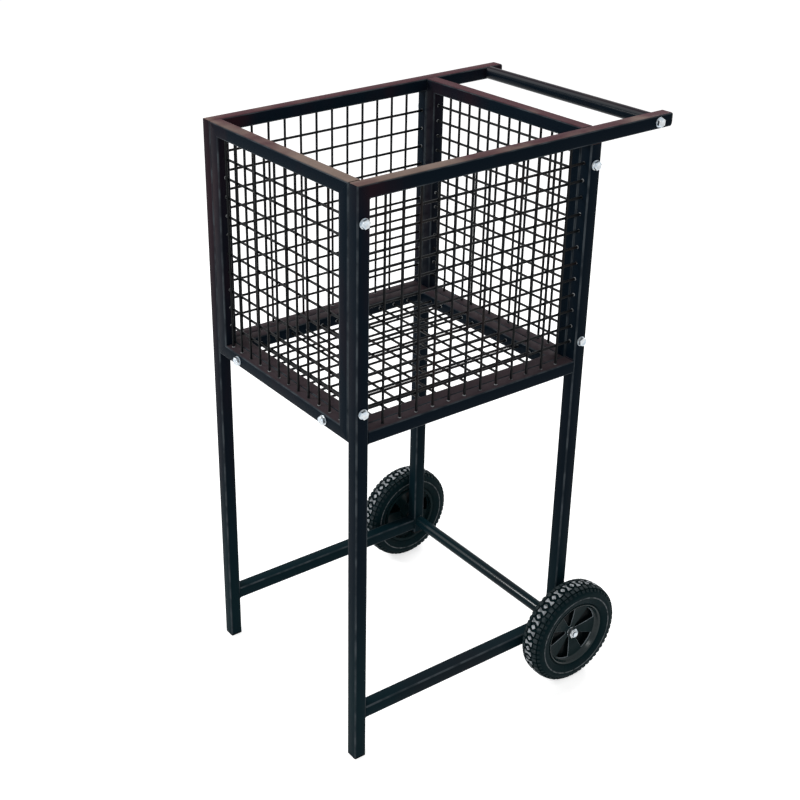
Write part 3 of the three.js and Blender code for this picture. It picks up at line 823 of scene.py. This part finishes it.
def rubber_finish():
    rubber = Finish("tyre_rubber", Metallic=0.0, IOR=1.10)
    top = rubber.mark("block_top")
    dust = rubber.step(rubber.noise(70, 5.0), 0.48, 0.72)
    colour = rubber.blend(0.3 * dust, RUBBER, RUBBER_DUST)
    # Block tops painted light grey in patches as rubbed wear and a painted highlight; the raised line as a
    # painted highlight.
    wear_and_highlight_patches = rubber.step(rubber.noise(130, 3.0), 0.34, 0.62)
    colour = rubber.blend(top * (0.22 + 0.78 * wear_and_highlight_patches), colour, RUBBER_WORN_AND_HIGHLIT)
    return rubber.wear(Base_Color=colour, Roughness=0.42 + 0.25 * rubber.noise(60, 3.0),
                       Normal=rubber.bump(rubber.noise(650, 3.0), 0.3, 0.0005))


tyre_rubber = rubber_finish()


def block_model(outline, worn_and_highlit):
    """One tread block with its top at z = 0, from an outline of (across, round) points."""
    start_fresh()
    bpy.ops.mesh.primitive_circle_add(vertices=len(outline), radius=1, fill_type="NGON")
    block = bpy.context.object
    for vert, (across, along) in zip(block.data.vertices, outline):
        vert.co = (across, along, -BLOCK_DEPTH)
    bpy.ops.object.mode_set(mode="EDIT")
    bpy.ops.mesh.select_all(action="SELECT")
    bpy.ops.mesh.extrude_region_move(TRANSFORM_OT_translate={"value": (0, 0, BLOCK_DEPTH)})
    bpy.ops.transform.resize(value=BLOCK_TAPER_SHARES, center_override=(0, 0, 0))
    bpy.ops.mesh.select_all(action="SELECT")
    bpy.ops.mesh.normals_make_consistent(inside=False)
    pick("faces", lambda face: abs(face.normal.z) > 0.9 and face.calc_center_median().z > -BLOCK_DEPTH / 2)
    bpy.ops.mesh.bevel(offset=BLOCK_CHAMFER, segments=1, affect="EDGES")
    bpy.ops.object.mode_set(mode="OBJECT")
    mark = block.data.attributes.new("block_top", "FLOAT", "CORNER")
    for face in block.data.polygons:
        for corner in face.loop_indices:
            mark.data[corner].value = worn_and_highlit if face.normal.z > 0.3 else 0.0
    return block


outline = [(radius, -x) for radius, x in TYRE_HALF_OUTLINE]
carcass = turned(outline + [(radius, x) for radius, x in reversed(TYRE_HALF_OUTLINE)], TYRE_SIDES)
# The raised sidewall line gets a painted highlight.
mark = carcass.data.attributes.new("block_top", "FLOAT", "CORNER")
for face in carcass.data.polygons:
    from_axle = math.hypot(face.center.y, face.center.z)
    for corner in face.loop_indices:
        mark.data[corner].value = LINE_PAINTED_HIGHLIGHT if RAISED_LINE[0] < from_axle < RAISED_LINE[1] else 0.0
tyre_parts = [carcass]
for outline, both, from_middle, radius, tilt, part, worn_and_highlit in TREAD:
    block = block_model(outline, worn_and_highlit)
    for hand in (-1, 1) if both else (1,):
        lean = Matrix.Rotation(math.radians(tilt), 4, "Y")
        spot = Matrix.Translation((from_middle, 0, radius)) @ lean
        if hand < 0:
            spot = Matrix.Rotation(math.pi, 4, "Z") @ spot
        for i in range(TREAD_REPEATS):
            turn = Matrix.Rotation(2 * math.pi * (i + part) / TREAD_REPEATS, 4, "X")
            tyre_parts.append(copy_of(block, turn @ spot))
    bpy.data.objects.remove(block)
tyre = join_pieces(tyre_parts)

# Hubs: moulded black plastic with a deep rim, a dished middle and five broad spokes between
# sunk pockets. A flanged bush of hard plastic is pressed into the bore.
HUB_SIDES = 90
RIM_RADIUS = 0.0600
SPOKES = 5
HUB_BLACK = (0.0040, 0.0135, 0.0155, 1)
HUB_GREY = (0.012, 0.020, 0.023, 1)
# Light colour of the hub's chamfered edges: a painted highlight, and wear.
HUB_EDGE_WEAR_AND_HIGHLIGHT = (0.300, 0.340, 0.370, 1)
# Near black painted in the hub's pockets as painted shade.
POCKET_PAINTED_SHADE = (0.0006, 0.0010, 0.0014, 1)
HUB_HALF = 0.0190
DISC_HALF = 0.0095
BOSS_RADIUS = 0.0160
BOSS_INSET = 0.003
BOSS_CHAMFER = 0.001
BORE_RADIUS = 0.0076
WEB_HALF = 0.003
BOSS_BACK = -0.0245
POCKET_OUTER = 0.052
POCKET_TIP = {1: 0.012, -1: 0.019}
POCKET_TIP_HALF = 0.0025
POCKET_HALF_ANGLE = math.radians(17.3)
POCKET_TURN = math.radians(13)
POCKET_MIDDLE = 0.034
POCKET_TIP_ROUND = 0.0006
POCKET_FLOOR_SHARES = (0.93, 0.98)
POCKET_WALL_SHARES = (0.3, 0.65, 1)
POCKET_REACH = 0.0528
POCKET_PAST = 0.001
RIM_START = 0.0529
HUB_CHAMFER = 0.0006
HUB_DISH = [
    (BORE_RADIUS, DISC_HALF - BOSS_INSET), (BOSS_RADIUS, DISC_HALF - BOSS_INSET),
    (0.0230, DISC_HALF - 0.0020), (0.0360, DISC_HALF - 0.0006), (0.0508, DISC_HALF),
]
HUB_OUTLINE = [
    (BORE_RADIUS, BOSS_BACK), (BOSS_RADIUS - BOSS_CHAMFER, BOSS_BACK),
    (BOSS_RADIUS, BOSS_BACK + BOSS_CHAMFER), (BOSS_RADIUS, -DISC_HALF), (0.0515, -DISC_HALF),
    (0.0530, -DISC_HALF - 0.001), (0.0550, -HUB_HALF), (RIM_RADIUS, -HUB_HALF),
    (RIM_RADIUS, HUB_HALF), (0.0587, HUB_HALF), (0.0574, HUB_HALF - 0.0006),
    (0.0564, HUB_HALF - 0.0026), (0.0548, DISC_HALF + 0.0035), (0.0530, DISC_HALF + 0.0008),
    *reversed(HUB_DISH),
]
HUB_MARKS = ("edge_wear_and_highlight", "glossy_lip", "painted_pocket_shade")
EDGE_WEAR_AND_HIGHLIGHT_SHARE = 0.9
SLANT_LOW = 0.3
SLANT_HIGH = 0.93
WALL_SLOPE = 0.25
CHAMFER_START = WEB_HALF + 0.001
POCKET_FLOOR_END = WEB_HALF + 0.0005


def moulded_finish(name, colour, pale, rough):
    plastic = Finish(name, Metallic=0.0, IOR=1.10, Coat_Roughness=0.24, Coat_IOR=1.42)
    flow = plastic.step(plastic.noise(38, 4.0), 0.45, 0.75)
    scuffs = plastic.step(plastic.noise(240, 5.0, (1, 3, 1)), 0.62, 0.75)
    shade = plastic.blend(0.35 * flow + 0.3 * scuffs, colour, pale)
    # Chamfered edges painted lighter: a painted highlight, and wear.
    edge_wear_highlight = plastic.mark("edge_wear_and_highlight")
    shade = plastic.blend(edge_wear_highlight * (0.45 + 0.5 * plastic.noise(30, 2.0)), shade, HUB_EDGE_WEAR_AND_HIGHLIGHT)
    lip = plastic.mark("glossy_lip")
    # Painted shade: the pocket floors and walls are painted near black.
    deep = plastic.mark("painted_pocket_shade")
    shade = plastic.blend(0.85 * deep, shade, POCKET_PAINTED_SHADE)
    return plastic.wear(Base_Color=shade, Roughness=rough + 0.15 * flow, Coat_Weight=0.6 * lip,
                        Normal=plastic.bump(plastic.noise(520, 3.0), 0.2, 0.0004))


hub_plastic = moulded_finish("hub_plastic_black", HUB_BLACK, HUB_GREY, 0.22)


def loft(rings):
    """A closed body through rings of points, which all have as many."""
    count = len(rings[0])
    start_fresh()
    bpy.ops.mesh.primitive_grid_add(x_subdivisions=count, y_subdivisions=len(rings) - 1, size=1)
    body = bpy.context.object
    for vert in body.data.vertices:
        column = round((vert.co.x + 0.5) * count) % count
        row = round((vert.co.y + 0.5) * (len(rings) - 1))
        vert.co = rings[row][column]
    bpy.ops.object.mode_set(mode="EDIT")
    bpy.ops.mesh.select_all(action="SELECT")
    bpy.ops.mesh.remove_doubles(threshold=TOUCHING)
    bpy.ops.mesh.select_all(action="SELECT")
    bpy.ops.mesh.fill_holes(sides=0)
    bpy.ops.mesh.select_all(action="SELECT")
    bpy.ops.mesh.normals_make_consistent(inside=False)
    bpy.ops.object.mode_set(mode="OBJECT")
    return body


def dish(radius):
    """How high the hub's dished right face lies at a distance from the axle."""
    for (inner, low), (outer, high) in zip(HUB_DISH, HUB_DISH[1:]):
        if radius <= outer:
            return low + (high - low) * max(radius - inner, 0) / (outer - inner)
    return HUB_DISH[-1][1]


def pocket_cutter(face):
    """The wedge of air between two spokes, from the web out through the right or left face."""
    tip = POCKET_TIP[face]
    corner = (POCKET_OUTER * math.sin(POCKET_HALF_ANGLE), POCKET_OUTER * math.cos(POCKET_HALF_ANGLE))
    half = [(0, tip), (POCKET_TIP_HALF, tip + POCKET_TIP_ROUND)]
    for share in POCKET_WALL_SHARES:
        half.append(tuple(first + (last - first) * share for first, last in zip(half[1], corner)))
    middle = POCKET_HALF_ANGLE / 2
    half.append((POCKET_OUTER * math.sin(middle), POCKET_OUTER * math.cos(middle)))
    flat = half + [(0, POCKET_OUTER)] + [(-y, z) for y, z in reversed(half[1:])]
    wide = []
    for before, (y, z), after in zip(flat[-1:] + flat, flat, flat[1:] + flat[:1]):
        away = Vector((after[1] - before[1], before[0] - after[0])).normalized() * 2 * HUB_CHAMFER
        spot = Vector((y, z)) + away * (-1 if away.dot(Vector((y, z - POCKET_MIDDLE))) < 0 else 1)
        wide.append(spot * min(1, POCKET_REACH / spot.length))
    heights = [dish(z) if face > 0 else DISC_HALF for y, z in flat]
    narrower, shorter = POCKET_FLOOR_SHARES
    cutter = loft([
        [Vector((WEB_HALF, narrower * y, POCKET_MIDDLE + (z - POCKET_MIDDLE) * shorter)) for y, z in flat],
        [Vector((height - HUB_CHAMFER, y, z)) for (y, z), height in zip(flat, heights)],
        [Vector((height + HUB_CHAMFER, y, z)) for (y, z), height in zip(wide, heights)],
        [Vector((HUB_HALF + POCKET_PAST, y, z)) for y, z in wide],
    ])
    if face < 0:
        cutter.data.transform(Matrix.Rotation(math.pi, 4, "Z"))
    return cutter


hub = turned(HUB_OUTLINE, HUB_SIDES)
for face in (-1, 1):
    cutter = pocket_cutter(face)
    for i in range(SPOKES):
        tool = copy_of(cutter, Matrix.Rotation(POCKET_TURN + 2 * math.pi * i / SPOKES, 4, "X"))
        apply_modifier(hub, "BOOLEAN", operation="DIFFERENCE", object=tool, solver="EXACT")
        bpy.data.objects.remove(tool)
    bpy.data.objects.remove(cutter)
for mark in HUB_MARKS:
    hub.data.attributes.new(mark, "FLOAT", "CORNER")
edge_wear_highlight, glossy, painted_pocket_shade = (hub.data.attributes[mark] for mark in HUB_MARKS)
for face in hub.data.polygons:
    from_axle = math.hypot(face.center.y, face.center.z)
    from_middle = abs(face.center.x)
    slope = abs(face.normal.x)
    slanted = SLANT_LOW < slope < SLANT_HIGH
    # Chamfers on the right face get the painted edge highlight and wear.
    chamfered = slanted and from_axle < RIM_START and face.center.x > CHAMFER_START
    lip = from_axle > RIM_START and from_middle > DISC_HALF and slope < SLANT_HIGH
    # Pocket floors and walls get the painted shade.
    pocket_wall = slope < WALL_SLOPE and from_middle < DISC_HALF
    inside = from_middle < POCKET_FLOOR_END or pocket_wall
    for corner in face.loop_indices:
        edge_wear_highlight.data[corner].value = EDGE_WEAR_AND_HIGHLIGHT_SHARE if chamfered else 0.0
        glossy.data[corner].value = 1.0 if lip else 0.0
        painted_pocket_shade.data[corner].value = 1.0 if inside and from_axle < POCKET_OUTER else 0.0

BUSH_BORE = 0.0053
BUSH_BODY = 0.0073
BUSH_FLANGE = 0.013
BUSH_FLANGE_THICKNESS = 0.0024
BUSH_CHAMFER = 0.0004
BUSH_GREY = (0.020, 0.020, 0.021, 1)
BUSH_PALE = (0.060, 0.060, 0.062, 1)
bush_plastic = moulded_finish("bush_plastic_grey", BUSH_GREY, BUSH_PALE, 0.35)
low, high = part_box("right_wheel_bush")
wheel_low, wheel_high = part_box("right_tyre")
wheel_middle = (wheel_low + wheel_high) / 2
bush_start, bush_end = low.x - wheel_middle.x, high.x - wheel_middle.x
bush = turned([
    (BUSH_BORE, bush_start), (BUSH_FLANGE - BUSH_CHAMFER, bush_start),
    (BUSH_FLANGE, bush_start + BUSH_CHAMFER),
    (BUSH_FLANGE, bush_start + BUSH_FLANGE_THICKNESS - BUSH_CHAMFER),
    (BUSH_FLANGE - BUSH_CHAMFER, bush_start + BUSH_FLANGE_THICKNESS),
    (BUSH_BODY, bush_start + BUSH_FLANGE_THICKNESS), (BUSH_BODY, bush_end - BUSH_CHAMFER),
    (BUSH_BODY - BUSH_CHAMFER, bush_end), (BUSH_BORE, bush_end),
], ROUND_SIDES)

for side, turn in (("left", math.pi), ("right", 0)):
    low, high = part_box(f"{side}_tyre")
    stand = Matrix.Translation((low + high) / 2) @ Matrix.Rotation(turn, 4, "Z")
    body = f"{side}_wheel"
    hand_over(copy_of(tyre, stand), f"{side}_tyre_treaded", tyre_rubber, body, [f"{side}_tyre"])
    hand_over(copy_of(hub, stand), f"{side}_hub_spoked", hub_plastic, body, [f"{side}_hub"])
    hand_over(copy_of(bush, stand), f"{side}_bush_flanged", bush_plastic, body,
              [f"{side}_wheel_bush"])

# Axle washers and lock nuts: zinc plated, one of each outside each wheel. The nut has a thin
# collar that holds its nylon ring.
WASHER_OUTER = 0.009
AXLE_HOLE = 0.0055
AXLE_HOLE_SIDES = 40
AXLE_NUT_ACROSS = 0.017
NUT_COLLAR = 0.0074
NUT_COLLAR_ROUND = 0.0009
NUT_COLLAR_SHOULDER = 0.001
NUT_COLLAR_HEIGHT = 0.0022
WASHER_EDGE = 0.0003
for side, turn in (("left", math.pi), ("right", 0)):
    low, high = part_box(f"{side}_axle_washer")
    thick = (high.x - low.x) / 2
    washer = turned([
        (AXLE_HOLE, -thick), (WASHER_OUTER - WASHER_EDGE, -thick), (WASHER_OUTER, WASHER_EDGE - thick),
        (WASHER_OUTER, thick - WASHER_EDGE), (WASHER_OUTER - WASHER_EDGE, thick), (AXLE_HOLE, thick),
    ], ROUND_SIDES)
    washer.data.transform(Matrix.Translation((low + high) / 2))
    hand_over(washer, f"{side}_axle_washer_zinc", bright_zinc, stands_for=[f"{side}_axle_washer"])
    low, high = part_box(f"{side}_axle_nut")
    half = (high.x - low.x) / 2
    collar = turned([
        (AXLE_HOLE, 0), (NUT_COLLAR, 0), (NUT_COLLAR, half - NUT_COLLAR_SHOULDER),
        (NUT_COLLAR - NUT_COLLAR_ROUND, half), (AXLE_HOLE, half),
    ], ROUND_SIDES)
    nut_body = hex_head(AXLE_NUT_ACROSS, -half, half - NUT_COLLAR_HEIGHT)
    nut_body.data.transform(Matrix.Rotation(quarter_turn, 4, "Y"))
    bore = rod(AXLE_HOLE, -2 * half, 2 * half, AXLE_HOLE_SIDES)
    bore.data.transform(Matrix.Rotation(quarter_turn, 4, "Y"))
    apply_modifier(nut_body, "BOOLEAN", operation="DIFFERENCE", object=bore, solver="EXACT")
    bpy.data.objects.remove(bore)
    nut = join_pieces([nut_body, collar])
    nut.data.transform(Matrix.Translation((low + high) / 2) @ Matrix.Rotation(turn, 4, "Z"))
    hand_over(nut, f"{side}_axle_lock_nut", bright_zinc, stands_for=[f"{side}_axle_nut"])

# Plugs: moulded caps pushed into the open tube ends, with a ribbed body inside the tube. The
# rail ends have a domed cap, the feet and the rear legs a flat one.
PLUG_BODY = 0.0092
PLUG_CAP_HALF = 0.011
PLUG_RIBS = 3
PLUG_RIB_DEPTH = 0.0012
PLUG_RIB_LENGTH = 0.0012
PLUG_BODY_SHORT = 0.001
PLUG_LAST_GAP_SHARE = 0.6
PLUG_SINK = 0.0001
PLUG_EDGE = 0.0004
PLUG_DOME_SHARE = 0.8
PLUG_CAP_ROUND_SHARE = 0.3
PLUG_BLACK = (0.0030, 0.0034, 0.0038, 1)
PLUG_GREY = (0.024, 0.025, 0.026, 1)
PLUGS = [
    # name, height of the cap, domed, lying along the rail
    ("front_foot_plug", 0.0027, False, False),
    ("rear_leg_plug", 0.003, False, False),
    ("rail_end_plug", 0.005, True, True),
]
plug_plastic = moulded_finish("plug_plastic_black", PLUG_BLACK, PLUG_GREY, 0.45)


def tube_plug(cap_height, body_depth, dome):
    """A plug with the tube's end at z = 0: its cap below, its body above."""
    start_fresh()
    bpy.ops.mesh.primitive_cube_add(size=1, location=(0, 0, -cap_height / 2),
                                    scale=(2 * PLUG_CAP_HALF, 2 * PLUG_CAP_HALF, cap_height))
    bpy.ops.object.transform_apply(location=True, rotation=True, scale=True)
    cap = bpy.context.object
    bpy.ops.object.mode_set(mode="EDIT")
    if dome:
        pick("faces", lambda face: face.normal.z < -0.9)
        bpy.ops.transform.resize(value=(PLUG_DOME_SHARE, PLUG_DOME_SHARE, 1),
                                 center_override=(0, 0, -cap_height))
    pick("edges", lambda edge: abs(edge.verts[0].co.z - edge.verts[1].co.z) > cap_height / 2)
    bpy.ops.mesh.bevel(offset=TUBE_CORNER, segments=CORNER_STEPS, affect="EDGES")
    pick("faces", lambda face: face.normal.z < -0.9)
    bpy.ops.mesh.bevel(offset=cap_height * PLUG_CAP_ROUND_SHARE, segments=3, affect="EDGES")
    bpy.ops.object.mode_set(mode="OBJECT")
    parts = [cap]
    for i in range(PLUG_RIBS + 1):
        half = PLUG_BODY if i else PLUG_BODY - PLUG_RIB_DEPTH
        length = PLUG_RIB_LENGTH if i else body_depth - PLUG_BODY_SHORT
        middle = body_depth * i / (PLUG_RIBS + PLUG_LAST_GAP_SHARE) if i else length / 2
        start_fresh()
        bpy.ops.mesh.primitive_cube_add(size=1, location=(0, 0, middle - PLUG_SINK),
                                        scale=(2 * half, 2 * half, length))
        bpy.ops.object.transform_apply(location=True, rotation=True, scale=True)
        bpy.ops.object.mode_set(mode="EDIT")
        bpy.ops.mesh.select_all(action="SELECT")
        bpy.ops.mesh.bevel(offset=PLUG_EDGE, segments=1, affect="EDGES")
        bpy.ops.object.mode_set(mode="OBJECT")
        parts.append(bpy.context.object)
    return join_pieces(parts)


for side in ("left", "right"):
    for plug, cap_height, dome, lying in PLUGS:
        node = f"{side}_{plug}"
        low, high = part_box(node)
        along = high.y - low.y if lying else high.z - low.z
        model = tube_plug(cap_height, along - cap_height, dome)
        if lying:
            seat = Vector(((low.x + high.x) / 2, high.y - cap_height, (low.z + high.z) / 2))
            model.data.transform(Matrix.Translation(seat) @ Matrix.Rotation(quarter_turn, 4, "X"))
        else:
            seat = Vector(((low.x + high.x) / 2, (low.y + high.y) / 2, low.z + cap_height))
            model.data.transform(Matrix.Translation(seat))
        hand_over(model, f"{node}_moulded", plug_plastic, stands_for=[node])

for model in (bead, wire, nugget, panel_bolt, handle_bolt, tyre, hub, bush):
    bpy.data.objects.remove(model)
